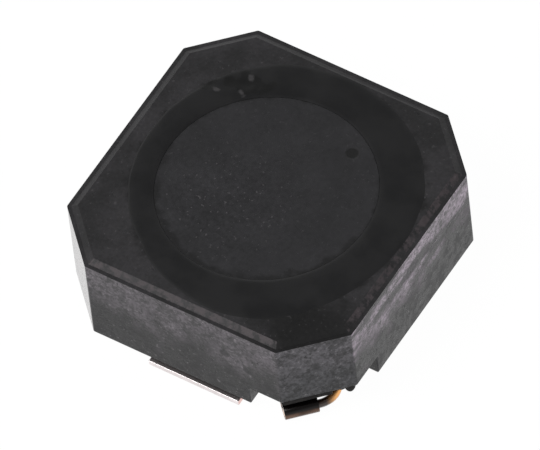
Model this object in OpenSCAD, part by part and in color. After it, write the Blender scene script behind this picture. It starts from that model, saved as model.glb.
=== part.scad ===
// Shielded power inductor for surface mounting: a drum core inside an octagonal ferrite shield.
// Millimetres, +Z up. The origin is the centre of the footprint, on the plane of the solder faces.
// The left and right sides are X, and the two terminals lie under the -Y and +Y sides.

/* [Shield] */
// Width and depth of the shield across its flats
body_side = 10.3; // [8:0.1:16]
// Leg of each corner chamfer, measured along the side
corner_leg = 1.7; // [1:0.05:2.4]
// Height of the side walls, from the foot to the flat land at the top edge
wall_h = 3.44; // [2.6:0.02:6]
// Width of the flat land round the top edge
land_w = 0.13; // [0.05:0.01:0.4]
// Width of the bevel between the land and the top face
bevel_w = 0.2; // [0.1:0.01:0.5]
// Rise of the bevel
bevel_h = 0.12; // [0.05:0.01:0.4]
// Radius of the bore that takes the drum
bore_r = 3.95; // [3.6:0.05:4.4]
// Height of the lead-out notch under two opposite corners
notch_h = 0.78; // [0.6:0.02:1.2]
// Length of the notch along each side, from the corner point before its chamfer
notch_len = 2.88; // [2.4:0.02:3.4]

/* [Drum] */
// Gap between the flanges and the bore
drum_gap = 0.4; // [0.2:0.01:0.6]
// Thickness of the top flange
top_flange_h = 0.86; // [0.6:0.02:1.4]
// Thickness of the bottom flange
bottom_flange_h = 0.8; // [0.6:0.02:1.4]
// Radius of the post that carries the winding
post_r = 1.6; // [1.2:0.05:1.7]
// Width of the two lead slots in the bottom flange
slot_w = 0.9; // [0.6:0.02:1.4]
// Width of the small bevel on the flange rims
flange_edge = 0.06; // [0.02:0.01:0.15]

/* [Winding] */
// Diameter of the enamelled wire
wire_d = 0.28; // [0.2:0.01:0.3]
// Layers of wire, an even number so that both ends leave at the bottom
wire_layers = 6; // [2:2:6]
// Free space between neighbouring turns
turn_gap = 0.01; // [0.005:0.005:0.03]
// Free space between neighbouring layers
layer_gap = 0.015; // [0.01:0.005:0.03]

/* [Terminals] */
// Thickness of the terminal sheet
sheet_t = 0.2; // [0.1:0.01:0.25]
// Length of each solder pad along the side
pad_len = 3.27; // [2:0.05:4]
// Depth of each solder pad, inwards from its outer edge
pad_depth = 1.6; // [1:0.05:2.2]
// How far a pad is shifted towards the notch of its own wire
pad_shift = 0.2; // [0:0.05:0.5]
// How far a pad stands out past the side wall
pad_out = 0.05; // [0:0.01:0.3]
// Step between the solder face and the arm that runs under the shield
joggle = 0.15; // [0.05:0.01:0.25]
// Width of the arm between the pad and the hook
arm_w = 0.7; // [0.4:0.05:1]
// Distance of the arm from the side wall
arm_inset = 0.62; // [0.3:0.02:0.8]
// Thickness of the hook, coined thinner than the sheet
hook_t = 0.1; // [0.06:0.01:0.14]
// Length of the hook along the chamfer
hook_len = 1.1; // [0.7:0.05:1.3]
// Length of the hook's upper jaw, past the middle of the wire
jaw_len = 0.24; // [0.16:0.02:0.4]
// Length of the coined part of the lower jaw
coined_len = 0.35; // [0.2:0.05:0.6]
// Length of the full-thickness root behind the hook
root_len = 0.65; // [0.5:0.05:1]
// Distance of the wire in the hook from the chamfer face
hook_inset = 0.18; // [0.1:0.01:0.4]

/* [Adhesive] */
// Depth of the resin in the gap between drum and shield
resin_depth = 0.9; // [0.4:0.05:1.4]
// Thickness of the resin that has spread over the top
film_t = 0.04; // [0.02:0.005:0.08]
// How far the spread resin reaches past the bore
film_reach = 0.45; // [0.2:0.05:0.6]
// How far the glue under the shield stays back from the outer edge of the wall
glue_inset = 0.15; // [0.05:0.01:0.3]
// Thickness of the bead of glue under the ceiling of each notch
bead_h = 0.18; // [0.05:0.01:0.25]
// Depth of that bead, inwards from the chamfer
bead_depth = 0.5; // [0.2:0.05:0.6]
// Radius of the drop of glue that hangs beside the lead
drop_r = 0.2; // [0.1:0.01:0.3]

/* [Hidden] */

$fn = 96;
cut = 1;
fit = 0.01;

half_side = body_side / 2;
half_diagonal = (body_side - corner_leg) / sqrt(2);
foot_z = sheet_t + joggle;
land_z = foot_z + wall_h;
top_z = land_z + bevel_h;

flange_r = bore_r - drum_gap;
flange_top_z = foot_z + bottom_flange_h;
window_top_z = top_z - top_flange_h;

// Winding: every layer climbs or falls by whole turns, and the steps outwards between them add up
// to an odd number of half turns, which brings the two ends to opposite corners
segments = 18;
sides = 8;
turn_pitch = wire_d + turn_gap;
layer_pitch = wire_d + layer_gap;
// The middle of each straight segment clears the post
coil_r = (post_r + fit + wire_d / 2) / cos(180 / segments);
step_turns = (floor(wire_layers / 4) + 0.5) / wire_layers;
start_drop = step_turns * turn_pitch;
coil_low_z = flange_top_z + wire_d / 2 + start_drop + 0.03;
climb_turns = floor((window_top_z - fit - wire_d / 2 - coil_low_z) / turn_pitch);
layer_turns = climb_turns + step_turns;
coil_high_z = coil_low_z + climb_turns * turn_pitch;
all_turns = wire_layers * layer_turns;
coil_out_r = coil_r + (wire_layers - 1) * layer_pitch;

// The wire in its hook: distance from the centre along the corner diagonal, and height
hook_r = half_diagonal - hook_inset;
hook_z = joggle + hook_t + fit + wire_d / 2;
hook_start = -0.05;
bead_back = 0.02;
film_in_r = flange_r - flange_edge + fit;

pad_outer = half_side + pad_out;
pad_x0 = pad_shift - pad_len / 2;
pad_x1 = pad_shift + pad_len / 2;
// The arm ends inside the root of the hook
arm_end_x = (hook_r - coined_len - root_len + hook_start - hook_len) / sqrt(2) + arm_w / 2 + 0.15;

// A point at the corner in the direction (+X, -Y): along the chamfer, out along the diagonal, up
function corner_point(along, out, z) = [(out + along) / sqrt(2), (along - out) / sqrt(2), z];
function opposite(p) = [-p[0], -p[1], p[2]];

// The height and the radius of the wire after a number of turns
function layer_of(turns) = min(floor(turns / layer_turns), wire_layers - 1);
function coil_height(turns) =
    let (layer = layer_of(turns), done = turns - layer * layer_turns,
         climbed = layer == 0 ? done - step_turns : max(done - step_turns, 0))
    layer % 2 == 0 ? coil_low_z + climbed * turn_pitch : coil_high_z - climbed * turn_pitch;
function coil_radius(turns) =
    let (layer = layer_of(turns), done = turns - layer * layer_turns)
    coil_r + layer_pitch * (layer == 0 ? 0 : layer - 1 + min(done / step_turns, 1));
function coil_point(turns) =
    [coil_radius(turns) * cos(-45 - 360 * turns), coil_radius(turns) * sin(-45 - 360 * turns),
     coil_height(turns)];

lead_z = foot_z + 0.42;
coil_start_z = coil_height(0);
// From the hook into the slot, and up beside the post
start_lead = [
    corner_point(hook_start - hook_len, hook_r, hook_z),
    corner_point(hook_start - hook_len * 0.5, hook_r, hook_z),
    corner_point(hook_start, hook_r, hook_z),
    corner_point(0.2, hook_r - 0.01, hook_z + 0.03),
    corner_point(0.42, hook_r - 0.06, hook_z + 0.1),
    corner_point(0.6, hook_r - 0.18, hook_z + 0.2),
    corner_point(0.68, hook_r - 0.36, hook_z + 0.28),
    corner_point(0.66, hook_r - 0.6, hook_z + 0.34),
    corner_point(0.52, hook_r - 1, lead_z),
    corner_point(0.3, hook_r - 1.5, lead_z),
    corner_point(0.14, flange_r, lead_z),
    corner_point(0.12, coil_r + 0.7, lead_z),
    corner_point(0.13, coil_r + 0.22, lead_z),
    corner_point(0.13, coil_r + 0.09, lead_z + 0.05),
    corner_point(0.13, coil_r + 0.01, lead_z + 0.16),
    corner_point(0.13, coil_r, coil_start_z - 0.16),
    corner_point(0.11, coil_r, coil_start_z - 0.08),
    corner_point(0.06, coil_r, coil_start_z - 0.02)
];
// From the last turn down through the other slot to its hook
end_lead = [
    corner_point(-0.12, coil_out_r + 0.02, coil_low_z - 0.04),
    corner_point(-0.2, coil_out_r + 0.06, coil_low_z - 0.12),
    corner_point(-0.22, coil_out_r + 0.13, lead_z + 0.22),
    corner_point(-0.2, coil_out_r + 0.25, lead_z + 0.08),
    corner_point(-0.1, coil_out_r + 0.5, lead_z),
    corner_point(0.3, hook_r - 1.5, lead_z),
    corner_point(0.52, hook_r - 1, lead_z),
    corner_point(0.66, hook_r - 0.6, hook_z + 0.34),
    corner_point(0.68, hook_r - 0.36, hook_z + 0.28),
    corner_point(0.6, hook_r - 0.18, hook_z + 0.2),
    corner_point(0.42, hook_r - 0.06, hook_z + 0.1),
    corner_point(0.2, hook_r - 0.01, hook_z + 0.03),
    corner_point(hook_start, hook_r, hook_z),
    corner_point(hook_start - hook_len * 0.5, hook_r, hook_z),
    corner_point(hook_start - hook_len, hook_r, hook_z)
];
coil_steps = round(all_turns * segments);
wire_route = concat(
    start_lead,
    [for (i = [0 : coil_steps]) coil_point(i / segments)],
    [for (p = end_lead) opposite(p)]
);

function unit(v) = v / norm(v);
function direction(route, i) =
    unit(route[min(i + 1, len(route) - 1)] - route[max(i - 1, 0)]);
// The side vector of each ring, carried along the route so that the tube doesn't twist
function across(side, forward) = unit(side - forward * (side * forward));

// A round tube that follows a route
module tube(route, diameter) {
    last = len(route) - 1;
    side_vectors = [
        for (i = 0, side = across([0, 0, 1], direction(route, 0)); i <= last;
             i = i + 1, side = i <= last ? across(side, direction(route, i)) : side)
            side
    ];
    points = [
        for (i = [0 : last])
            let (forward = direction(route, i), side = side_vectors[i], other = cross(forward, side))
            for (k = [0 : sides - 1])
                route[i] + diameter / 2 * (side * cos(360 * k / sides) + other * sin(360 * k / sides))
    ];
    walls = [
        for (i = [0 : last - 1], k = [0 : sides - 1])
            let (next = (k + 1) % sides)
            [i * sides + k, (i + 1) * sides + k, (i + 1) * sides + next, i * sides + next]
    ];
    first_cap = [for (k = [0 : sides - 1]) k];
    last_cap = [for (k = [sides - 1 : -1 : 0]) last * sides + k];
    polyhedron(points, concat(walls, [first_cap, last_cap]), convexity = 10);
}

// One direction of the shield: a long bar with the land and the bevel on both long edges
module edged_bar(width) {
    half = width / 2;
    rotate([90, 0, 0])
        linear_extrude(2 * body_side, center = true)
            polygon([
                [-half, foot_z],
                [half, foot_z],
                [half, land_z],
                [half - land_w, land_z],
                [half - land_w - bevel_w, top_z],
                [-half + land_w + bevel_w, top_z],
                [-half + land_w, land_z],
                [-half, land_z]
            ]);
}

// Four bars in turn leave an octagon whose eight top edges all have the same land and bevel
module shield_blank() {
    intersection() {
        edged_bar(body_side);
        rotate([0, 0, 90]) edged_bar(body_side);
        rotate([0, 0, 45]) edged_bar(2 * half_diagonal);
        rotate([0, 0, 135]) edged_bar(2 * half_diagonal);
    }
}

module corner_notch() {
    translate([half_side - notch_len, -half_side - cut, foot_z - cut])
        cube([notch_len + cut, notch_len + cut, notch_h + cut]);
}

// The way for the lead from the bore into the notch, however thick the corner is
module lead_channel() {
    rotate([0, 0, -45])
        translate([bore_r - cut, -slot_w / 2, foot_z - cut])
            cube([half_diagonal - bore_r, slot_w, notch_h + cut]);
}

module shield_core() {
    color("dimgray")
        difference() {
            shield_blank();
            translate([0, 0, foot_z - cut]) cylinder(h = top_z - foot_z + 2 * cut, r = bore_r);
            for (turn = [0, 180])
                rotate([0, 0, turn]) {
                    corner_notch();
                    lead_channel();
                }
        }
}

// A slot in the bottom flange, from the post out towards a notched corner
module lead_slot() {
    rotate([0, 0, -45])
        translate([post_r - fit, -slot_w / 2, foot_z - cut])
            cube([bore_r, slot_w, bottom_flange_h + 2 * cut]);
}

module drum_core() {
    color("gray")
        difference() {
            rotate_extrude()
                polygon([
                    [0, foot_z],
                    [flange_r - flange_edge, foot_z],
                    [flange_r, foot_z + flange_edge],
                    [flange_r, flange_top_z],
                    [post_r, flange_top_z],
                    [post_r, window_top_z],
                    [flange_r, window_top_z],
                    [flange_r, top_z - flange_edge],
                    [flange_r - flange_edge, top_z],
                    [0, top_z]
                ]);
            difference() {
                union() {
                    lead_slot();
                    rotate([0, 0, 180]) lead_slot();
                }
                translate([0, 0, flange_top_z]) cylinder(h = top_z, r = bore_r);
            }
        }
}

module winding() {
    color("peru") tube(wire_route, wire_d);
}

// The outline of the resin on the top face, drawn out on three sides where it ran further
module film_outline() {
    circle(r = bore_r + film_reach);
    translate([0.4, -0.4]) circle(r = bore_r + film_reach / 2);
    translate([0.4, 0.3]) circle(r = bore_r + film_reach / 2);
    translate([-0.1, -0.35]) circle(r = bore_r + film_reach / 2);
}

module gap_resin() {
    color([0.15, 0.15, 0.16]) {
        difference() {
            union() {
                translate([0, 0, top_z]) linear_extrude(film_t) film_outline();
                translate([0, 0, top_z - resin_depth]) cylinder(h = resin_depth + film_t / 2, r = bore_r);
            }
            translate([0, 0, top_z - resin_depth - cut]) cylinder(h = resin_depth + cut, r = flange_r);
            translate([0, 0, top_z - cut]) cylinder(h = 2 * cut, r = film_in_r);
        }
    }
}

// The pad and the arm are one strip: flat on the board, then stepped up under the shield
module terminal_strip() {
    slope = joggle * 0.4;
    lap = 0.3;
    translate([pad_x0, -pad_outer, 0]) cube([pad_len, pad_depth, sheet_t]);
    translate([0, -half_side + arm_inset + arm_w, 0])
        rotate([90, 0, 0])
            linear_extrude(arm_w)
                polygon([
                    [pad_x1 - lap, 0],
                    [pad_x1, 0],
                    [pad_x1 + joggle, joggle],
                    [arm_end_x, joggle],
                    [arm_end_x, foot_z],
                    [pad_x1 + joggle - slope, foot_z],
                    [pad_x1 - slope, sheet_t],
                    [pad_x1 - lap, sheet_t]
                ]);
}

// The tab at the chamfer, folded round the wire, in a frame with X along the chamfer and Y outwards
module terminal_hook() {
    jaw_r = wire_d / 2 + fit;
    rotate([0, 0, 45])
        translate([hook_start - hook_len, -hook_r, 0]) {
            translate([0, coined_len, joggle]) cube([hook_len, root_len, sheet_t]);
            translate([0, 0, joggle]) cube([hook_len, coined_len + fit, hook_t]);
            translate([0, 0, hook_z + jaw_r]) cube([hook_len, jaw_len, hook_t]);
            translate([0, 0, hook_z])
                rotate([90, 0, 90])
                    linear_extrude(hook_len)
                        difference() {
                            circle(r = jaw_r + hook_t);
                            circle(r = jaw_r);
                            translate([0, -bore_r / 2]) square(bore_r);
                        }
        }
}

module terminal() {
    color("silver") {
        terminal_strip();
        terminal_hook();
    }
}

module terminal_front() {
    terminal();
}

module terminal_back() {
    rotate([0, 0, 180]) terminal();
}

module terminal_glue() {
    depth = pad_depth - pad_out - 2 * glue_inset;
    color([0.2, 0.19, 0.19])
        translate([pad_x0 + glue_inset, -half_side + glue_inset, sheet_t])
            cube([pad_len - 2 * glue_inset - 0.2, depth, joggle]);
}

module terminal_glue_front() {
    terminal_glue();
}

module terminal_glue_back() {
    rotate([0, 0, 180]) terminal_glue();
}

// Solder drawn in behind the wire, between the two jaws of the hook
module solder() {
    jaw_r = wire_d / 2 + fit;
    color("lightgray")
        rotate([0, 0, 45])
            translate([hook_start - hook_len + 0.05, -hook_r, joggle + hook_t])
                rotate([90, 0, 90])
                    linear_extrude(hook_len - 0.1)
                        difference() {
                            square([jaw_len - 0.02, 2 * jaw_r]);
                            translate([0, jaw_r]) circle(r = jaw_r);
                        }
}

module solder_front() {
    solder();
}

module solder_back() {
    rotate([0, 0, 180]) solder();
}

// A drop that hangs from the ceiling of the notch, at a place along the chamfer
module glue_drop(along, radius) {
    translate(corner_point(along, half_diagonal - bead_back - radius, foot_z + notch_h))
        intersection() {
            sphere(r = radius);
            translate([-radius, -radius, -radius]) cube([2 * radius, 2 * radius, radius]);
        }
}

// Glue that seals the notch above the lead: a bead behind the chamfer that runs out thin to a drop
module lead_glue() {
    smear_h = 0.04;
    bead_end = 0.42;
    drop_along = 1.02;
    back_y = -half_diagonal + bead_back;
    color([0.12, 0.12, 0.13])
        union() {
            rotate([0, 0, 45]) {
                translate([hook_start - hook_len, back_y, foot_z + notch_h - bead_h])
                    cube([bead_end - hook_start + hook_len, bead_depth, bead_h]);
                translate([bead_end - fit, back_y, foot_z + notch_h - smear_h])
                    cube([drop_along - bead_end, bead_depth, smear_h]);
            }
            glue_drop(bead_end - 1.4 * drop_r, 1.4 * drop_r);
            glue_drop(drop_along, drop_r);
        }
}

module lead_glue_front() {
    lead_glue();
}

module lead_glue_back() {
    rotate([0, 0, 180]) lead_glue();
}

shield_core();
drum_core();
winding();
gap_resin();
terminal_front();
terminal_back();
terminal_glue_front();
terminal_glue_back();
solder_front();
solder_back();
lead_glue_front();
lead_glue_back();
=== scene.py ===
import bpy, bmesh
from math import atan2, cos, exp, floor, hypot, pi, radians, sin, sqrt
from mathutils import Matrix, Vector, noise


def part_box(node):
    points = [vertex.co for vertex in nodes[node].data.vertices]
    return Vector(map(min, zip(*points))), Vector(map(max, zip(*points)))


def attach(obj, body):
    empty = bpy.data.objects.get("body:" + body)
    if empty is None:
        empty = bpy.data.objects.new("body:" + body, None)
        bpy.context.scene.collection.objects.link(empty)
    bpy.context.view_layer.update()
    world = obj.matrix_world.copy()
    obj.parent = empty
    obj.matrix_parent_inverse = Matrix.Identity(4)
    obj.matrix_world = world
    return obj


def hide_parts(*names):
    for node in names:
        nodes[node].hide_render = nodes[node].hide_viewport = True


# Shielded power inductor: octagonal ferrite shield, drum core, resin ring, two tinned terminals
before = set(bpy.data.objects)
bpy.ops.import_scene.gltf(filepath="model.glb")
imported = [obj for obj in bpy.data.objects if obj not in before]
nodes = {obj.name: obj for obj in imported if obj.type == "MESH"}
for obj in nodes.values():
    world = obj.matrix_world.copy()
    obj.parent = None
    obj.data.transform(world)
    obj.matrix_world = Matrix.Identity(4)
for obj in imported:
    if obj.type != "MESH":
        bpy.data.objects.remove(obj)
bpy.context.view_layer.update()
mm = 0.001

shieldLow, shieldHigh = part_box("shield_core")
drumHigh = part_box("drum_core")[1]
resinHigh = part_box("gap_resin")[1]
bodySide = shieldHigh.x - shieldLow.x
footZ, topZ = shieldLow.z, shieldHigh.z
drumRadius = drumHigh.x
resinTop = resinHigh.z


view = {
    "azimuth": 37.04,  # degrees round the object
    "elevation": 53.7,
    "roll": -7.01,
    "lens": 1000.0,  # mm, so that parallel edges stay nearly parallel
    "distance": 45.24,  # in body sides
    "aimRight": -0.150 * mm,  # from the middle of the foot plane, across the view
    "aimUp": 0.958 * mm,
}
light = {
    "keyPower": 0.075,  # watts, the lamp is close because the object is small
    "keyPlace": (-30 * mm, -60 * mm, 110 * mm),
    "keySize": 60 * mm,
    "skyLow": 1.0,  # brightness near the horizon
    "skyHigh": 0.26,  # brightness overhead
    "skyFade": (0.2, 0.75),  # heights between which it falls
    "floorColor": (0.86, 0.855, 0.86, 1),
    "floorGlow": 0.96,  # how much of the floor's own white the camera sees
    "floorMirror": 1.0,  # the same for what reflects the floor
    "floorWhite": 1.02,  # just over white
    "floorSize": 0.6,  # far wider than the view
}


def addNode(tree, kind, props=None, **sockets):
    node = tree.nodes.new(kind)
    for key, value in (props or {}).items():
        setattr(node, key, value)
    for key, value in sockets.items():
        socket = node.inputs[int(key[1:])] if key[1:].isdigit() else node.inputs[key.replace("_", " ")]
        if isinstance(value, bpy.types.NodeSocket):
            tree.links.new(value, socket)
        else:
            socket.default_value = value
    return node


def calc(tree, operation, a, b=0.0, c=0.0):
    return addNode(tree, "ShaderNodeMath", {"operation": operation}, i0=a, i1=b, i2=c).outputs[0]


def ramp(tree, value, low, high, start=0.0, end=1.0):
    return addNode(tree, "ShaderNodeMapRange", {"interpolation_type": "SMOOTHSTEP"},
                   i0=value, i1=low, i2=high, i3=start, i4=end).outputs[0]


def mixColor(tree, factor, a, b):
    node = addNode(tree, "ShaderNodeMix", {"data_type": "RGBA"}, i0=factor, i6=a, i7=b)
    return node.outputs[2]


def mixValue(tree, factor, a, b):
    return addNode(tree, "ShaderNodeMix", {"data_type": "FLOAT"}, i0=factor, i2=a, i3=b).outputs[0]


def makeCamera():
    a, e, r = radians(view["azimuth"]), radians(view["elevation"]), radians(view["roll"])
    back = Vector((sin(a) * cos(e), -cos(a) * cos(e), sin(e)))
    level = Vector((cos(a), sin(a), 0))
    upright = back.cross(level)
    right = level * cos(r) + upright * sin(r)
    up = upright * cos(r) - level * sin(r)
    cam = bpy.data.cameras.new("camera")
    cam.lens = view["lens"]
    cam.sensor_width = 36
    cam.clip_start = 0.01
    cam.clip_end = 10
    obj = bpy.data.objects.new("camera", cam)
    bpy.context.scene.collection.objects.link(obj)
    aim = Vector((0, 0, footZ)) + right * view["aimRight"] + up * view["aimUp"]
    turn = Matrix((right, up, back)).transposed().to_4x4()
    obj.matrix_world = Matrix.Translation(aim + back * view["distance"] * bodySide) @ turn
    bpy.context.scene.camera = obj


def makeWorld():
    world = bpy.data.worlds.new("world")
    bpy.context.scene.world = world
    world.use_nodes = True
    tree = world.node_tree
    tree.nodes.clear()
    coords = addNode(tree, "ShaderNodeTexCoord")
    height = addNode(tree, "ShaderNodeSeparateXYZ", i0=coords.outputs["Generated"]).outputs[2]
    sky = ramp(tree, height, *light["skyFade"], light["skyLow"], light["skyHigh"])
    path = addNode(tree, "ShaderNodeLightPath")
    strength = mixValue(tree, path.outputs["Is Camera Ray"], sky, 1.0)
    back = addNode(tree, "ShaderNodeBackground", Color=(1, 1, 1, 1), Strength=strength)
    addNode(tree, "ShaderNodeOutputWorld", Surface=back.outputs[0])


def makeLamp():
    lamp = bpy.data.lights.new("keyLamp", "AREA")
    lamp.energy = light["keyPower"]
    lamp.size = light["keySize"]
    obj = bpy.data.objects.new("keyLamp", lamp)
    bpy.context.scene.collection.objects.link(obj)
    place = Vector(light["keyPlace"])
    obj.location = place
    obj.rotation_euler = place.to_track_quat("Z", "Y").to_euler()


def makeFloor():
    bm = bmesh.new()
    bmesh.ops.create_grid(bm, x_segments=1, y_segments=1, size=light["floorSize"])
    mesh = bpy.data.meshes.new("floor")
    bm.to_mesh(mesh)
    bm.free()
    obj = bpy.data.objects.new("floor", mesh)
    bpy.context.scene.collection.objects.link(obj)
    mat = bpy.data.materials.new("paleFloor")
    mat.use_nodes = True
    tree = mat.node_tree
    tree.nodes.clear()
    path = addNode(tree, "ShaderNodeLightPath")
    mirrored = calc(tree, "MAXIMUM", path.outputs["Is Glossy Ray"], path.outputs["Is Transmission Ray"])
    seen = calc(tree, "MULTIPLY", path.outputs["Is Camera Ray"], light["floorGlow"])
    own = calc(tree, "MAXIMUM", seen, calc(tree, "MULTIPLY", mirrored, light["floorMirror"]))
    matte = addNode(tree, "ShaderNodeBsdfDiffuse", Color=light["floorColor"])
    glow = addNode(tree, "ShaderNodeEmission", Color=(1, 1, 1, 1), Strength=light["floorWhite"])
    mix = addNode(tree, "ShaderNodeMixShader", i0=own, i1=matte.outputs[0], i2=glow.outputs[0])
    addNode(tree, "ShaderNodeOutputMaterial", Surface=mix.outputs[0])
    mesh.materials.append(mat)


makeCamera()
makeWorld()
makeLamp()
makeFloor()
bpy.context.scene.view_settings.view_transform = "Standard"
print("stage ready")


def newGroup(name, inputs, outputs):
    group = bpy.data.node_groups.new(name, "ShaderNodeTree")
    for label, kind, value in inputs:
        socket = group.interface.new_socket(label, in_out="INPUT", socket_type=kind)
        if value is not None:
            socket.default_value = value
    for label, kind in outputs:
        group.interface.new_socket(label, in_out="OUTPUT", socket_type=kind)
    return group, addNode(group, "NodeGroupInput"), addNode(group, "NodeGroupOutput")


def makeGrainGroup():
    # sintered grain: fine noise, sparse pale specks, sparse dark pits and broad stains
    group, given, out = newGroup(
        "sinteredGrain",
        [("Place", "NodeSocketVector", None), ("Grain Scale", "NodeSocketFloat", 11.0),
         ("Specks", "NodeSocketFloat", 0.5), ("Pits", "NodeSocketFloat", 0.5)],
        [("Grain", "NodeSocketFloat"), ("Speck", "NodeSocketFloat"), ("Pit", "NodeSocketFloat"),
         ("Stain", "NodeSocketFloat"), ("Height", "NodeSocketFloat")])
    place = given.outputs["Place"]
    fine = addNode(group, "ShaderNodeTexNoise", i0=place, Scale=given.outputs["Grain Scale"],
                   Detail=3.0, Roughness=0.65).outputs[0]
    dots = addNode(group, "ShaderNodeTexNoise", Vector=place, Scale=9.0, Detail=1.0,
                   Roughness=0.5).outputs[0]
    holes = addNode(group, "ShaderNodeTexNoise", Vector=place, Scale=5.5, Detail=2.0,
                    Roughness=0.6).outputs[0]
    broad = addNode(group, "ShaderNodeTexNoise", Vector=place, Scale=0.8, Detail=4.0,
                    Roughness=0.62).outputs[0]
    speckEdge = calc(group, "SUBTRACT", 0.78, calc(group, "MULTIPLY", given.outputs["Specks"], 0.16))
    speck = ramp(group, calc(group, "SUBTRACT", dots, speckEdge), 0.0, 0.05)
    pitEdge = calc(group, "ADD", 0.22, calc(group, "MULTIPLY", given.outputs["Pits"], 0.16))
    pit = ramp(group, calc(group, "SUBTRACT", pitEdge, holes), 0.0, 0.05)
    height = calc(group, "SUBTRACT", calc(group, "MULTIPLY", fine, 0.5), pit)
    height = calc(group, "ADD", height, calc(group, "MULTIPLY", speck, 0.5))
    for label, value in (("Grain", fine), ("Speck", speck), ("Pit", pit), ("Stain", broad),
                         ("Height", height)):
        group.links.new(value, out.inputs[label])
    return group


def makeSpotGroup():
    # 1 inside a round spot on a level face, fading to 0 over its soft edge, with a wavering outline
    group, given, out = newGroup(
        "spot",
        [("Place", "NodeSocketVector", None), ("Centre", "NodeSocketVector", None),
         ("Radius", "NodeSocketFloat", 1.0), ("Softness", "NodeSocketFloat", 0.1),
         ("Waver", "NodeSocketFloat", 0.0)],
        [("Mask", "NodeSocketFloat")])
    waver = addNode(group, "ShaderNodeTexNoise", Vector=given.outputs["Place"], Scale=2.5,
                    Detail=3.0).outputs[0]
    away = addNode(group, "ShaderNodeVectorMath", {"operation": "DISTANCE"},
                   i0=given.outputs["Place"], i1=given.outputs["Centre"]).outputs["Value"]
    shift = calc(group, "MULTIPLY", calc(group, "SUBTRACT", waver, 0.5), given.outputs["Waver"])
    edge = calc(group, "SUBTRACT", given.outputs["Radius"], calc(group, "ADD", away, shift))
    edge = calc(group, "DIVIDE", edge, given.outputs["Softness"])
    group.links.new(ramp(group, edge, -0.5, 0.5), out.inputs["Mask"])
    return group


grainGroup = makeGrainGroup()
spotGroup = makeSpotGroup()


def newMaterial(name):
    mat = bpy.data.materials.new(name)
    mat.use_nodes = True
    tree = mat.node_tree
    coords = addNode(tree, "ShaderNodeTexCoord").outputs["Object"]
    place = addNode(tree, "ShaderNodeMapping", Vector=coords, Scale=(1 / mm,) * 3).outputs[0]
    return mat, tree, tree.nodes["Principled BSDF"], place


def addGroup(tree, group, **sockets):
    return addNode(tree, "ShaderNodeGroup", {"node_tree": group}, **sockets)


def addBump(tree, shader, height, strength, distance):
    bump = addNode(tree, "ShaderNodeBump", Height=height, Strength=strength, Distance=distance)
    tree.links.new(bump.outputs[0], shader.inputs["Normal"])


def setShader(shader, **values):
    for key, value in values.items():
        shader.inputs[key.replace("_", " ")].default_value = value


ferrite = {
    "dark": (0.0235, 0.023, 0.024, 1),
    "pale": (0.037, 0.0355, 0.038, 1),
    "smear": (0.008, 0.008, 0.008, 1),
    "sideLow": (0.0135, 0.013, 0.014, 1),
    "sideHigh": (0.094, 0.084, 0.094, 1),
    "rightPaintedLight": (0.37, 0.312, 0.37, 1),  # painted light: the right-hand wall is painted paler than the others
    "leftPaintedGlare": (0.13, 0.108, 0.113, 1),  # the left-hand chamfer is painted paler too, a painted reflection of its white surroundings, and it is smoother
    "speck": (0.3, 0.28, 0.295, 1),
    "pit": (0.008, 0.008, 0.009, 1),
    "front": (0.092, 0.093, 0.1, 1),  # the chamfer over the hook is a plainer grey
    # painted highlight for the strips of bevel
    "bevel": (0.062, 0.052, 0.056, 1),
    "shade": (1.25, 3.4),  # heights between which the walls turn from painted shade to pale, in mm
    "smearPlace": (4.1, -4.2, topZ / mm),  # resin smeared over the front right corner
    "smearRadius": 1.5,
    "soakPlace": (0.28, 0.08, topZ / mm),  # resin soaked in round the ring
    "soakRadius": 4.58,
    "marks": (  # dark nicks and rubbed spots on the walls: place and radius in mm
        ((5.15, -2.2, 0.75), 0.16), ((-3.0, -5.15, 2.7), 0.13), ((1.5, -5.15, 2.5), 0.16),
        ((3.1, -5.15, 1.75), 0.24), ((2.3, -5.15, 2.05), 0.14)),
}


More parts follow.
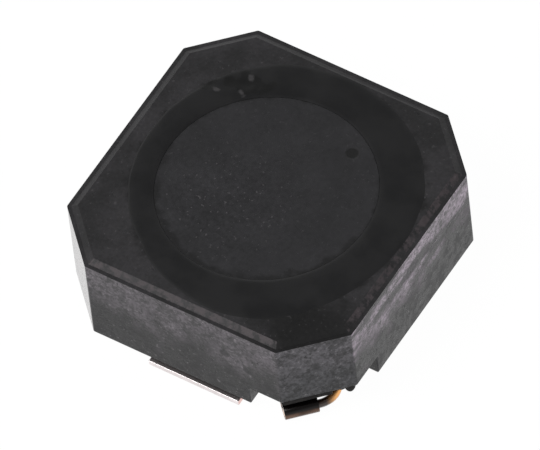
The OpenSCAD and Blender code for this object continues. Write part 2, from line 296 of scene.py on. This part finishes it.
def makeShieldFerrite():
    mat, tree, shader, place = newMaterial("shieldFerrite")
    grain = addGroup(tree, grainGroup, Place=place, Grain_Scale=9.0, Specks=0.45, Pits=0.65)
    geometry = addNode(tree, "ShaderNodeNewGeometry")
    normal = addNode(tree, "ShaderNodeSeparateXYZ", i0=geometry.outputs["True Normal"])
    axes = addNode(tree, "ShaderNodeSeparateXYZ", i0=place)
    wall = ramp(tree, calc(tree, "ABSOLUTE", normal.outputs[2]), 0.75, 0.25)
    # painted highlight on the strips of bevel over the front and right walls, broken up in patches
    acrossX = calc(tree, "ABSOLUTE", normal.outputs[0])
    acrossY = calc(tree, "ABSOLUTE", normal.outputs[1])
    straight = ramp(tree, calc(tree, "MAXIMUM", acrossX, acrossY), 0.4, 0.47)
    straight = calc(tree, "MULTIPLY", straight, ramp(tree, normal.outputs[2], 0.98, 0.93))
    litBevelSides = ramp(tree, calc(tree, "SUBTRACT", normal.outputs[0], normal.outputs[1]), 0.05, 0.3)
    straight = calc(tree, "MULTIPLY", straight, litBevelSides)
    patchy = addNode(tree, "ShaderNodeTexNoise", Vector=place, Scale=3.2, Detail=4.0, Roughness=0.7)
    straight = calc(tree, "MULTIPLY", straight, ramp(tree, patchy.outputs[0], 0.42, 0.58))
    right = ramp(tree, normal.outputs[0], 0.8, 0.95)
    left = ramp(tree, calc(tree, "ADD", normal.outputs[0], normal.outputs[1]), -1.2, -1.35)
    stain = grain.outputs["Stain"]
    # walls: pale and grainy above, partly dust and partly painted reflection, and darker and smoother towards
    # the foot, painted shade where they reflect the shadowed floor
    line = calc(tree, "ADD", axes.outputs[2], calc(tree, "MULTIPLY", calc(tree, "SUBTRACT", stain, 0.5), 5.0))
    high = ramp(tree, calc(tree, "SUBTRACT", line, calc(tree, "MULTIPLY", right, 0.25)), *ferrite["shade"])
    upper = mixColor(tree, right, ferrite["sideHigh"], ferrite["rightPaintedLight"])
    wallColor = mixColor(tree, high, ferrite["sideLow"], upper)
    wallColor = mixColor(tree, left, wallColor, ferrite["leftPaintedGlare"])
    front = ramp(tree, calc(tree, "SUBTRACT", normal.outputs[0], normal.outputs[1]), 1.2, 1.35)
    wallColor = mixColor(tree, calc(tree, "MULTIPLY", front, 0.5), wallColor, ferrite["front"])
    # a dark rubbed band that runs up across the right-hand wall
    band = addNode(tree, "ShaderNodeMapping", Vector=place, Rotation=(radians(24), 0, 0),
                   Scale=(0.6, 0.25, 1.6))
    rub = addNode(tree, "ShaderNodeTexNoise", Vector=band.outputs[0], Scale=1.3, Detail=4.0,
                  Roughness=0.6).outputs[0]
    rub = calc(tree, "MULTIPLY", ramp(tree, rub, 0.45, 0.6), right)
    wallColor = mixColor(tree, calc(tree, "MULTIPLY", rub, 0.9), wallColor, ferrite["sideLow"])
    # blotches where the pressed skin is worn, and the few marks that stand out
    blotch = ramp(tree, patchy.outputs[0], 0.5, 0.42)
    wallColor = mixColor(tree, calc(tree, "MULTIPLY", blotch, 0.6), wallColor, ferrite["sideLow"])
    for centre, radius in ferrite["marks"]:
        mark = addGroup(tree, spotGroup, Place=place, Centre=centre, Radius=radius, Softness=0.12,
                        Waver=0.35).outputs[0]
        wallColor = mixColor(tree, calc(tree, "MULTIPLY", mark, 0.8), wallColor, ferrite["pit"])
    # top: dark, with a smear of resin near the front right corner
    smear = addGroup(tree, spotGroup, Place=place, Centre=ferrite["smearPlace"],
                     Radius=ferrite["smearRadius"], Softness=1.6, Waver=1.2).outputs[0]
    topColor = mixColor(tree, ramp(tree, stain, 0.35, 0.65), ferrite["dark"], ferrite["pale"])
    topColor = mixColor(tree, calc(tree, "MULTIPLY", smear, 0.85), topColor, ferrite["smear"])
    # the resin has soaked a little way past its edge
    soaked = addGroup(tree, spotGroup, Place=place, Centre=ferrite["soakPlace"],
                      Radius=ferrite["soakRadius"], Softness=0.35, Waver=1.0).outputs[0]
    topColor = mixColor(tree, calc(tree, "MULTIPLY", soaked, 0.6), topColor, ferrite["smear"])
    color = mixColor(tree, straight, topColor, ferrite["bevel"])
    color = mixColor(tree, wall, color, wallColor)
    grainy = calc(tree, "SUBTRACT", grain.outputs["Grain"], 0.5)
    lift = calc(tree, "MULTIPLY_ADD", grainy, mixValue(tree, wall, 0.8, 3.4), 1.0)
    color = addNode(tree, "ShaderNodeVectorMath", {"operation": "SCALE"}, i0=color, Scale=lift).outputs[0]
    specks = calc(tree, "MULTIPLY", grain.outputs["Speck"], mixValue(tree, wall, 0.06, 0.35))
    color = mixColor(tree, specks, color, ferrite["speck"])
    pits = calc(tree, "MULTIPLY", grain.outputs["Pit"], mixValue(tree, wall, 0.3, 0.75))
    color = mixColor(tree, pits, color, ferrite["pit"])
    tree.links.new(color, shader.inputs["Base Color"])
    # the walls are polished in patches and dull in between
    dull = ramp(tree, patchy.outputs[0], 0.4, 0.6, 0.2, 0.4)
    rough = mixValue(tree, wall, 0.46, mixValue(tree, left, dull, 0.07))
    rough = calc(tree, "MULTIPLY_ADD", grainy, 0.2, rough)
    tree.links.new(rough, shader.inputs["Roughness"])
    addBump(tree, shader, grain.outputs["Height"], 0.5, 0.03 * mm)
    setShader(shader, IOR=1.3)
    return mat


drum = {
    "dark": (0.017, 0.0167, 0.0185, 1),
    "pale": (0.0235, 0.023, 0.0255, 1),
    "dot": (0.003, 0.003, 0.003, 1),
    "skin": (0.0075, 0.0073, 0.008, 1),  # resin that creeps in over the rim
    "dotPlace": (1.65, 2.41, drumHigh.z / mm),
    "dotRadius": 0.21,
    "grainPlace": (-0.9, -1.3, drumHigh.z / mm),
    "grainRadius": 1.9,
    "cleanPlace": (0.0, 0.12, drumHigh.z / mm),
    "cleanRadius": 3.44,
}


def makeDrumFerrite():
    mat, tree, shader, place = newMaterial("drumFerrite")
    grain = addGroup(tree, grainGroup, Place=place, Grain_Scale=7.0, Specks=0.55, Pits=0.35)
    # the grain shows most on the front left part of the disc
    rough = addGroup(tree, spotGroup, Place=place, Centre=drum["grainPlace"],
                     Radius=drum["grainRadius"], Softness=2.4, Waver=1.5).outputs[0]
    dot = addGroup(tree, spotGroup, Place=place, Centre=drum["dotPlace"], Radius=drum["dotRadius"],
                   Softness=0.09, Waver=0.05).outputs[0]
    color = mixColor(tree, ramp(tree, grain.outputs["Stain"], 0.3, 0.7), drum["dark"], drum["pale"])
    grainy = calc(tree, "SUBTRACT", grain.outputs["Grain"], 0.5)
    lift = calc(tree, "MULTIPLY_ADD", grainy, mixValue(tree, rough, 0.5, 1.5), 1.0)
    color = addNode(tree, "ShaderNodeVectorMath", {"operation": "SCALE"}, i0=color, Scale=lift).outputs[0]
    specks = calc(tree, "MULTIPLY", grain.outputs["Speck"], mixValue(tree, rough, 0.03, 0.16))
    color = mixColor(tree, specks, color, ferrite["speck"])
    color = mixColor(tree, calc(tree, "MULTIPLY", grain.outputs["Pit"], 0.4), color, ferrite["pit"])
    color = mixColor(tree, calc(tree, "MULTIPLY", dot, 0.92), color, drum["dot"])
    # a thin skin of resin creeps in over the rim of the disc
    clean = addGroup(tree, spotGroup, Place=place, Centre=drum["cleanPlace"],
                     Radius=drum["cleanRadius"], Softness=0.25, Waver=0.7).outputs[0]
    color = mixColor(tree, clean, drum["skin"], color)
    tree.links.new(color, shader.inputs["Base Color"])
    gloss = calc(tree, "MULTIPLY_ADD", grainy, 0.3, 0.5)
    tree.links.new(mixValue(tree, dot, gloss, 0.6), shader.inputs["Roughness"])
    height = calc(tree, "SUBTRACT", grain.outputs["Height"], calc(tree, "MULTIPLY", dot, 2.0))
    addBump(tree, shader, height, 0.4, 0.02 * mm)
    setShader(shader, IOR=1.42)
    return mat


resin = {
    "black": (0.0045, 0.0045, 0.0052, 1),
    "grey": (0.0075, 0.0073, 0.008, 1),
    "dentShade": (0.0015, 0.0015, 0.0016, 1),
    "bumpHighlight": (0.08, 0.076, 0.079, 1),
    "steps": 440,  # round the ring
    "bore": 3.95 * mm,
    "rim": 4.67 * mm,  # mean radius of the outer edge
    "depth": 0.9 * mm,
    "rings": 18,
    "lobes": ((0.29, 1, 17), (0.13, 2, -134), (0.05, 3, 147), (0.045, 4, 108)),  # mm, waves, degrees
    "dents": (  # place in mm, radius in mm, height in mm
        (-3.68, 2.62, 0.26, -0.034), (-3.38, 2.46, 0.13, 0.03), (-2.6, 3.16, 0.3, -0.036),
        (-2.62, 3.45, 0.16, 0.028), (-2.58, 2.7, 0.12, 0.03), (-3.1, 2.95, 0.35, -0.02),
        (3.05, -3.0, 0.45, -0.02), (3.5, -2.2, 0.4, -0.012)),
    "skin": 0.78,  # thickness of the film on the top, as a share of the room it has
    "rise": 0.5 * mm,  # width over which the film reaches that thickness
    "overlap": 0.05 * mm,  # how far the film reaches in over the disc
    "ripple": (5.0, 0.05 * mm),  # fineness and depth of the small waves of the outer edge
    "waviness": (0.9, 0.006 * mm),  # the same for the surface
    "bell": 2.2,  # how steeply a dent falls off
    # painted shade in the dents and painted highlights on the bumps: place and radius in mm
    "dentShades": ((-3.68, 2.62, 0.3), (-2.6, 3.16, 0.42), (-3.1, 2.95, 0.2), (-2.0, 3.3, 0.2)),
    "bumpHighlights": ((-3.38, 2.46, 0.09), (-2.58, 2.72, 0.07), (-2.45, 2.66, 0.05), (-2.62, 3.45, 0.08)),
}


def makeResin():
    mat, tree, shader, place = newMaterial("blackResin")
    grain = addGroup(tree, grainGroup, Place=place, Grain_Scale=5.0, Specks=0.2, Pits=0.2)
    color = mixColor(tree, ramp(tree, grain.outputs["Stain"], 0.35, 0.65), resin["black"],
                     resin["grey"])
    # painted shade in the hollow dents near the back left corner, with painted highlights on the raised bumps
    # beside them
    for spots, strength, tint in ((resin["dentShades"], 1.0, resin["dentShade"]),
                                  (resin["bumpHighlights"], 0.55, resin["bumpHighlight"])):
        for x, y, radius in spots:
            mark = addGroup(tree, spotGroup, Place=place, Centre=(x, y, resinTop / mm), Radius=radius,
                            Softness=0.12, Waver=0.7).outputs[0]
            color = mixColor(tree, calc(tree, "MULTIPLY", mark, strength), color, tint)
    tree.links.new(color, shader.inputs["Base Color"])
    tree.links.new(ramp(tree, grain.outputs["Stain"], 0.3, 0.7, 0.36, 0.46), shader.inputs["Roughness"])
    addBump(tree, shader, grain.outputs["Grain"], 0.12, 0.015 * mm)
    setShader(shader, IOR=1.45)
    return mat


tin = {
    "bright": (0.86, 0.8, 0.8, 1),
    "dull": (0.72, 0.66, 0.66, 1),
    "pit": (0.3, 0.26, 0.25, 1),
    "cutEnd": (0.78, 0.48, 0.43, 1),  # bare base metal at the sheared ends
    "brown": (0.05, 0.025, 0.014, 1),  # scorched by the soldering
    "tan": (0.19, 0.11, 0.075, 1),
    "hookShade": (0.006, 0.0045, 0.004, 1),
    "bareTinGlint": (0.9, 0.87, 0.86, 1),  # bare tin on the hooks, placed at their glints: partly painted highlight
    "glintPlaces": ((4.19, -4.34, 0.5), (3.5, -5.06, 0.42)),  # on one hook, in mm
    "glintRadius": 0.06,
}


def makeTinPlate():
    mat, tree, shader, place = newMaterial("tinPlate")
    grain = addGroup(tree, grainGroup, Place=place, Grain_Scale=14.0, Specks=0.4, Pits=0.3)
    geometry = addNode(tree, "ShaderNodeNewGeometry")
    normal = addNode(tree, "ShaderNodeSeparateXYZ", i0=geometry.outputs["True Normal"])
    axes = addNode(tree, "ShaderNodeSeparateXYZ", i0=place)
    # the hooks at both notched corners are scorched by the soldering
    diagonal = calc(tree, "ABSOLUTE", calc(tree, "SUBTRACT", axes.outputs[0], axes.outputs[1]))
    scorch = ramp(tree, diagonal, 7.3, 7.9)
    cutEnd = ramp(tree, calc(tree, "ABSOLUTE", normal.outputs[0]), 0.8, 0.95)
    color = mixColor(tree, ramp(tree, grain.outputs["Stain"], 0.35, 0.65), tin["bright"],
                     tin["dull"])
    color = mixColor(tree, calc(tree, "MULTIPLY", cutEnd, 0.8), color, tin["cutEnd"])
    scorchAndShade = mixColor(tree, ramp(tree, grain.outputs["Stain"], 0.35, 0.65), tin["brown"], tin["tan"])
    # the upper part of each hook is painted black: painted shade under the notch, reflecting the dark ferrite
    # above, over the real heat tint
    scorchAndShade = mixColor(tree, ramp(tree, axes.outputs[2], 0.44, 0.54), scorchAndShade, tin["hookShade"])
    color = mixColor(tree, scorch, color, scorchAndShade)
    # bare tin spots at the hooks' glints, partly painted highlight
    for side in (1, -1):
        for x, y, z in tin["glintPlaces"]:
            glintChip = addGroup(tree, spotGroup, Place=place, Centre=(side * x, side * y, z),
                            Radius=tin["glintRadius"], Softness=0.04, Waver=0.08).outputs[0]
            scorch = calc(tree, "SUBTRACT", scorch, calc(tree, "MULTIPLY", glintChip, 0.9))
            color = mixColor(tree, glintChip, color, tin["bareTinGlint"])
    color = mixColor(tree, calc(tree, "MULTIPLY", grain.outputs["Pit"], 0.4), color, tin["pit"])
    tree.links.new(color, shader.inputs["Base Color"])
    tree.links.new(mixValue(tree, scorch, 1.0, 0.55), shader.inputs["Metallic"])
    tree.links.new(mixValue(tree, scorch, 0.38, 0.24), shader.inputs["Roughness"])
    addBump(tree, shader, grain.outputs["Height"], 0.25, 0.015 * mm)
    return mat


enamel = {
    "deep": (0.5, 0.16, 0.045, 1),
    "bright": (0.68, 0.27, 0.08, 1),
    # painted shade for the leads beside the hook, and below it the painted orange highlight further along
    "leadShade": (0.03, 0.014, 0.008, 1),
    "clear": (0.85, 0.42, 0.14, 1),
}


def makeEnamel():
    mat, tree, shader, place = newMaterial("enamelledCopper")
    grain = addGroup(tree, grainGroup, Place=place, Grain_Scale=4.0, Specks=0.2, Pits=0.3)
    axes = addNode(tree, "ShaderNodeSeparateXYZ", i0=place)
    diagonal = calc(tree, "ABSOLUTE", calc(tree, "SUBTRACT", axes.outputs[0], axes.outputs[1]))
    along = calc(tree, "ABSOLUTE", calc(tree, "ADD", axes.outputs[0], axes.outputs[1]))
    # painted shade beside the hook, under the notch, and a painted orange highlight (the clear orange)
    # further along
    clear = ramp(tree, along, 0.25, 0.85)
    outside = ramp(tree, diagonal, 6.5, 7.6)
    color = mixColor(tree, ramp(tree, grain.outputs["Stain"], 0.4, 0.6), enamel["deep"],
                     enamel["bright"])
    shadeAndHighlight = mixColor(tree, clear, enamel["leadShade"], enamel["clear"])
    color = mixColor(tree, outside, color, shadeAndHighlight)
    tree.links.new(color, shader.inputs["Base Color"])
    tree.links.new(mixValue(tree, outside, 0.9, mixValue(tree, clear, 0.3, 0.9)), shader.inputs["Metallic"])
    addBump(tree, shader, grain.outputs["Grain"], 0.1, 0.01 * mm)
    setShader(shader, Roughness=0.28, Coat_Weight=0.6, Coat_Roughness=0.12)
    return mat


solder = {
    "shade": (0.5, 0.46, 0.44, 1),
    "bright": (0.82, 0.78, 0.75, 1),
}


def makeSolder():
    mat, tree, shader, place = newMaterial("solder")
    grain = addGroup(tree, grainGroup, Place=place, Grain_Scale=10.0, Specks=0.3, Pits=0.3)
    color = mixColor(tree, ramp(tree, grain.outputs["Grain"], 0.35, 0.65), solder["shade"],
                     solder["bright"])
    tree.links.new(color, shader.inputs["Base Color"])
    addBump(tree, shader, grain.outputs["Height"], 0.3, 0.02 * mm)
    setShader(shader, Roughness=0.22, Metallic=1.0)
    return mat


glue = {
    "black": (0.004, 0.0038, 0.0036, 1),
    "worn": (0.02, 0.018, 0.017, 1),
}


def makeGlue():
    mat, tree, shader, place = newMaterial("darkGlue")
    grain = addGroup(tree, grainGroup, Place=place, Grain_Scale=6.0, Specks=0.3, Pits=0.4)
    color = mixColor(tree, ramp(tree, grain.outputs["Grain"], 0.3, 0.7), glue["black"],
                     glue["worn"])
    tree.links.new(color, shader.inputs["Base Color"])
    addBump(tree, shader, grain.outputs["Height"], 0.3, 0.03 * mm)
    setShader(shader, Roughness=0.75, IOR=1.3)
    return mat


shieldFerrite = makeShieldFerrite()
drumFerrite = makeDrumFerrite()
blackResin = makeResin()
tinPlate = makeTinPlate()
enamelledCopper = makeEnamel()
solderMetal = makeSolder()
darkGlue = makeGlue()

finishes = {
    "drum_core": drumFerrite,
    "terminal_glue_front": darkGlue, "terminal_glue_back": darkGlue,
    "solder_front": solderMetal, "solder_back": solderMetal,
}
for name, mat in finishes.items():
    nodes[name].data.materials.clear()
    nodes[name].data.materials.append(mat)
print("materials ready")


def addPiece(name, mesh, mat, slot, *replaced):
    mesh.materials.clear()
    mesh.materials.append(mat)
    obj = bpy.data.objects.new(name, mesh)
    bpy.context.scene.collection.objects.link(obj)
    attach(obj, "root")
    if replaced:
        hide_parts(*replaced)
    return obj


shieldEdges = {
    "width": 0.035 * mm,
    "inside": 4.3 * mm,  # edges nearer to the axis than this stay sharp
    "rim": 3.7 * mm,  # the rim's own bevels start above this and stay as they are
}
terminalEdges = {
    "width": 0.02 * mm,
}
sameSpot = 0.0005 * mm  # corners nearer than this are one


def isSharp(edge):
    return len(edge.link_faces) == 2 and edge.calc_face_angle() > radians(25)


def onOutside(edge):
    # on the walls, and not round the bore or along the rim
    away = min(hypot(v.co.x, v.co.y) for v in edge.verts)
    return away > shieldEdges["inside"] and min(v.co.z for v in edge.verts) < shieldEdges["rim"]


def openCopy(node):
    bm = bmesh.new()
    bm.from_mesh(nodes[node].data)
    bmesh.ops.remove_doubles(bm, verts=bm.verts, dist=sameSpot)
    bmesh.ops.dissolve_limit(bm, angle_limit=radians(1.0), verts=bm.verts, edges=bm.edges)
    return bm


def softenEdges(bm, chosen, width, clamp):
    bmesh.ops.bevel(bm, geom=chosen, offset=width, offset_type="OFFSET", segments=2, profile=0.5,
                    affect="EDGES", clamp_overlap=clamp, material=-1)


def closeCopy(bm, name, mat, slot, node):
    mesh = bpy.data.meshes.new(name)
    bm.to_mesh(mesh)
    bm.free()
    addPiece(name, mesh, mat, slot, node)


def makeShield():
    # pressed ferrite, with its outer edges broken a little
    bm = openCopy("shield_core")
    chosen = [e for e in bm.edges if isSharp(e) and onOutside(e)]
    # unclamped, because the clamp would shrink these bevels to nothing
    softenEdges(bm, chosen, shieldEdges["width"], False)
    closeCopy(bm, "shieldCore", shieldFerrite, "ferrite_shield", "shield_core")


def makeTerminal(name, node):
    # stamped and folded tin plate
    bm = openCopy(node)
    softenEdges(bm, [e for e in bm.edges if isSharp(e)], terminalEdges["width"], True)
    closeCopy(bm, name, tinPlate, "tinned_terminal", node)


makeShield()
makeTerminal("terminalFront", "terminal_front")
makeTerminal("terminalBack", "terminal_back")
print("shield and terminals ready")


leadGlue = {
    "lumps": (  # along the chamfer, back from its face, radii along, outwards and down, all in mm
        (1.0, 0.14, 0.19, 0.13, 0.4), (0.74, 0.16, 0.16, 0.13, 0.2)),
    "notch": 0.78,  # height of the notch the lumps hang in, in mm
    "leg": 1.7,  # leg of the corner's chamfer, in mm
    "voxel": 0.018 * mm,
}


def makeLeadGlue(name, node, side):
    # the bead with the lumps that hang at the end of the chamfer, melted into one
    bm = bmesh.new()
    bm.from_mesh(nodes[node].data)
    face = (bodySide / mm - leadGlue["leg"]) / sqrt(2)
    for along, back, wide, thick, deep in leadGlue["lumps"]:
        out = face - back
        centre = Vector((side * (out + along), side * (along - out), 0)) / sqrt(2)
        centre.z = footZ / mm + leadGlue["notch"]
        place = Matrix.Translation(centre * mm) @ Matrix.Rotation(radians(45), 4, "Z")
        shape = Matrix.Diagonal((wide * mm, thick * mm, deep * mm, 1))
        lump = bmesh.ops.create_icosphere(bm, subdivisions=3, radius=1, matrix=place @ shape)
        for v in lump["verts"]:
            v.co.z = min(v.co.z, centre.z * mm)
    rough = bpy.data.meshes.new(name + "Rough")
    bm.to_mesh(rough)
    bm.free()
    obj = bpy.data.objects.new(name + "Rough", rough)
    bpy.context.scene.collection.objects.link(obj)
    melt = obj.modifiers.new("melt", "REMESH")
    melt.mode = "VOXEL"
    melt.voxel_size = leadGlue["voxel"]
    melt.use_smooth_shade = True
    mesh = bpy.data.meshes.new_from_object(obj.evaluated_get(bpy.context.evaluated_depsgraph_get()))
    mesh.name = name
    bpy.data.objects.remove(obj)
    addPiece(name, mesh, darkGlue, "glue", node)
    print(name, len(mesh.polygons), "faces")


makeLeadGlue("leadGlueFront", "lead_glue_front", 1)
makeLeadGlue("leadGlueBack", "lead_glue_back", -1)


def resinEdge(angle):
    radius = resin["rim"]
    for size, waves, phase in resin["lobes"]:
        radius += size * mm * cos(waves * angle - radians(phase))
    fine, depth = resin["ripple"]
    return radius + depth * noise.noise(Vector((cos(angle) * fine, sin(angle) * fine, 0.3)))


def resinHeight(x, y):
    fine, depth = resin["waviness"]
    height = depth * noise.noise(Vector((x, y, 0)) / mm * fine)
    for cx, cy, size, deep in resin["dents"]:
        away = hypot(x / mm - cx, y / mm - cy) / size
        height += deep * mm * exp(-away * away * resin["bell"])
    return height


def makeResinRing():
    inner = drumRadius - resin["overlap"]
    film = (resinTop - topZ) * resin["skin"]
    rings = resin["rings"]
    outline = [(drumRadius, topZ - resin["depth"]), (resin["bore"], topZ - resin["depth"]),
               (resin["bore"], topZ), (resin["rim"], topZ)]
    for i in range(rings + 1):
        share = i / rings
        edge = min(share, 1 - share) * (resin["rim"] - inner) / resin["rise"]
        rise = sqrt(max(0.0, 1 - (1 - min(edge, 1)) ** 2))
        outline.append((resin["rim"] + (inner - resin["rim"]) * share, topZ + film * rise))
    outline.append((drumRadius, topZ))
    bm = bmesh.new()
    verts = [bm.verts.new((r, 0, z)) for r, z in outline]
    chain = [bm.edges.new((a, b)) for a, b in zip(verts, verts[1:] + verts[:1])]
    bmesh.ops.spin(bm, geom=verts + chain, cent=(0, 0, 0), axis=(0, 0, 1), angle=2 * pi,
                   steps=resin["steps"], use_merge=True)
    bmesh.ops.remove_doubles(bm, verts=bm.verts, dist=sameSpot)
    for v in bm.verts:
        radius = hypot(v.co.x, v.co.y)
        if radius > resin["bore"] + 0.001 * mm:
            share = (radius - resin["bore"]) / (resin["rim"] - resin["bore"])
            target = resin["bore"] + share * (resinEdge(atan2(v.co.y, v.co.x)) - resin["bore"])
            v.co.x *= target / radius
            v.co.y *= target / radius
        above = (v.co.z - topZ) / film
        if above > 0.02:
            lift = resinHeight(v.co.x, v.co.y) * min(above, 1)
            v.co.z = min(max(v.co.z + lift, topZ + 0.001 * mm), resinTop)
    bmesh.ops.recalc_face_normals(bm, faces=bm.faces)
    for f in bm.faces:
        f.smooth = True
    mesh = bpy.data.meshes.new("resinRing")
    bm.to_mesh(mesh)
    bm.free()
    mesh.set_sharp_from_angle(angle=radians(50))
    addPiece("resinRing", mesh, blackResin, "resin", "gap_resin")


makeResinRing()
print("resin ready")


wire = {  # lengths in mm
    "diameter": 0.28,
    "turnPitch": 0.29,
    "layerPitch": 0.295,
    "layers": 6,
    "turnsEach": 5.25,
    "stepTurns": 0.25,  # a quarter turn to step out to the next layer
    "stepsPerTurn": 36,
    "post": 1.6,  # radius of the post
    "chords": 18,  # a coil of this many straight segments a turn would just clear the post
    "flangeTop": 0.8,  # above the foot of the shield
    "flangeGap": 0.03,
    "leadHeight": 0.42,  # above the foot of the shield
    "chamferLeg": 1.7,
    "hookInset": 0.18,  # from the chamfer's face
    "hookStart": -0.05,  # along the chamfer, and so is the next
    "hookEnd": -1.15,
    "joggle": 0.15,  # step between the solder face and the terminal's arm
    "hookSheet": 0.1,  # thickness of the hook
    "clearance": 0.01,
}
foot = footZ / mm
hookR = (bodySide / mm - wire["chamferLeg"]) / sqrt(2) - wire["hookInset"]
hookZ = wire["joggle"] + wire["hookSheet"] + wire["clearance"] + wire["diameter"] / 2
leadZ = foot + wire["leadHeight"]
coilR = (wire["post"] + wire["clearance"] + wire["diameter"] / 2) / cos(pi / wire["chords"])
coilStart = foot + wire["flangeTop"] + wire["diameter"] / 2 + wire["flangeGap"]
coilLow = coilStart + wire["stepTurns"] * wire["turnPitch"]
coilHigh = coilLow + (wire["turnsEach"] - wire["stepTurns"]) * wire["turnPitch"]
coilOut = coilR + (wire["layers"] - 1) * wire["layerPitch"]

# places of the leads: along the chamfer, out along the diagonal, up
hookMiddle = (wire["hookStart"] + wire["hookEnd"]) / 2
hookLead = [(wire["hookEnd"], hookR, hookZ), (hookMiddle, hookR, hookZ),
            (wire["hookStart"], hookR, hookZ), (0.2, hookR - 0.01, hookZ + 0.03),
            (0.42, hookR - 0.06, hookZ + 0.1),
            (0.6, hookR - 0.18, hookZ + 0.2), (0.68, hookR - 0.36, hookZ + 0.28),
            (0.66, hookR - 0.6, hookZ + 0.34), (0.52, hookR - 1, leadZ), (0.3, hookR - 1.5, leadZ)]
startLead = hookLead + [
    (0.14, drumRadius / mm, leadZ), (0.12, coilR + 0.7, leadZ), (0.13, coilR + 0.22, leadZ),
    (0.13, coilR + 0.09, leadZ + 0.05), (0.13, coilR + 0.01, leadZ + 0.16),
    (0.13, coilR, coilStart - 0.16), (0.11, coilR, coilStart - 0.08), (0.06, coilR, coilStart - 0.02)]
endLead = [(-0.12, coilOut + 0.02, coilLow - 0.04), (-0.2, coilOut + 0.06, coilLow - 0.12),
           (-0.22, coilOut + 0.13, leadZ + 0.22), (-0.2, coilOut + 0.25, leadZ + 0.08),
           (-0.1, coilOut + 0.5, leadZ)] + hookLead[::-1]


def cornerPoint(along, out, z):
    return Vector(((out + along) / sqrt(2), (along - out) / sqrt(2), z)) * mm


def coilPoint(turns):
    layer = min(floor(turns / wire["turnsEach"]), wire["layers"] - 1)
    done = turns - layer * wire["turnsEach"]
    climbed = done - wire["stepTurns"] if layer == 0 else max(done - wire["stepTurns"], 0)
    z = climbed * wire["turnPitch"]
    z = coilLow + z if layer % 2 == 0 else coilHigh - z
    steps = 0 if layer == 0 else layer - 1 + min(done / wire["stepTurns"], 1)
    radius = coilR + wire["layerPitch"] * steps
    angle = -pi / 4 - 2 * pi * turns
    return Vector((radius * cos(angle), radius * sin(angle), z)) * mm


def smoothRoute(points, parts=5):
    # a Catmull-Rom curve through the points
    route = []
    for i in range(len(points) - 1):
        a, b = points[max(i - 1, 0)], points[i]
        c, d = points[i + 1], points[min(i + 2, len(points) - 1)]
        for k in range(parts):
            t = k / parts
            route.append(0.5 * (2 * b + (c - a) * t + (2 * a - 5 * b + 4 * c - d) * t * t
                                + (3 * b - a - 3 * c + d) * t * t * t))
    return route + [points[-1]]


def makeWinding():
    count = round(wire["turnsEach"] * wire["layers"] * wire["stepsPerTurn"])
    coil = [coilPoint(i / wire["stepsPerTurn"]) for i in range(count + 1)]
    first = smoothRoute([cornerPoint(*p) for p in startLead] + [coil[0]])
    back = [cornerPoint(*p) for p in endLead]
    last = smoothRoute([coil[-1]] + [Vector((-p.x, -p.y, p.z)) for p in back])
    route = first[:-1] + coil + last[1:]
    curve = bpy.data.curves.new("windingWire", "CURVE")
    curve.dimensions = "3D"
    curve.bevel_depth = wire["diameter"] / 2 * mm
    curve.bevel_resolution = 3
    curve.use_fill_caps = True
    spline = curve.splines.new("POLY")
    spline.points.add(len(route) - 1)
    for point, place in zip(spline.points, route):
        point.co = (*place, 1)
    spline.use_smooth = True
    addPiece("windingWire", curve, enamelledCopper, "enamelled_copper", "winding")


makeWinding()
print("winding ready")
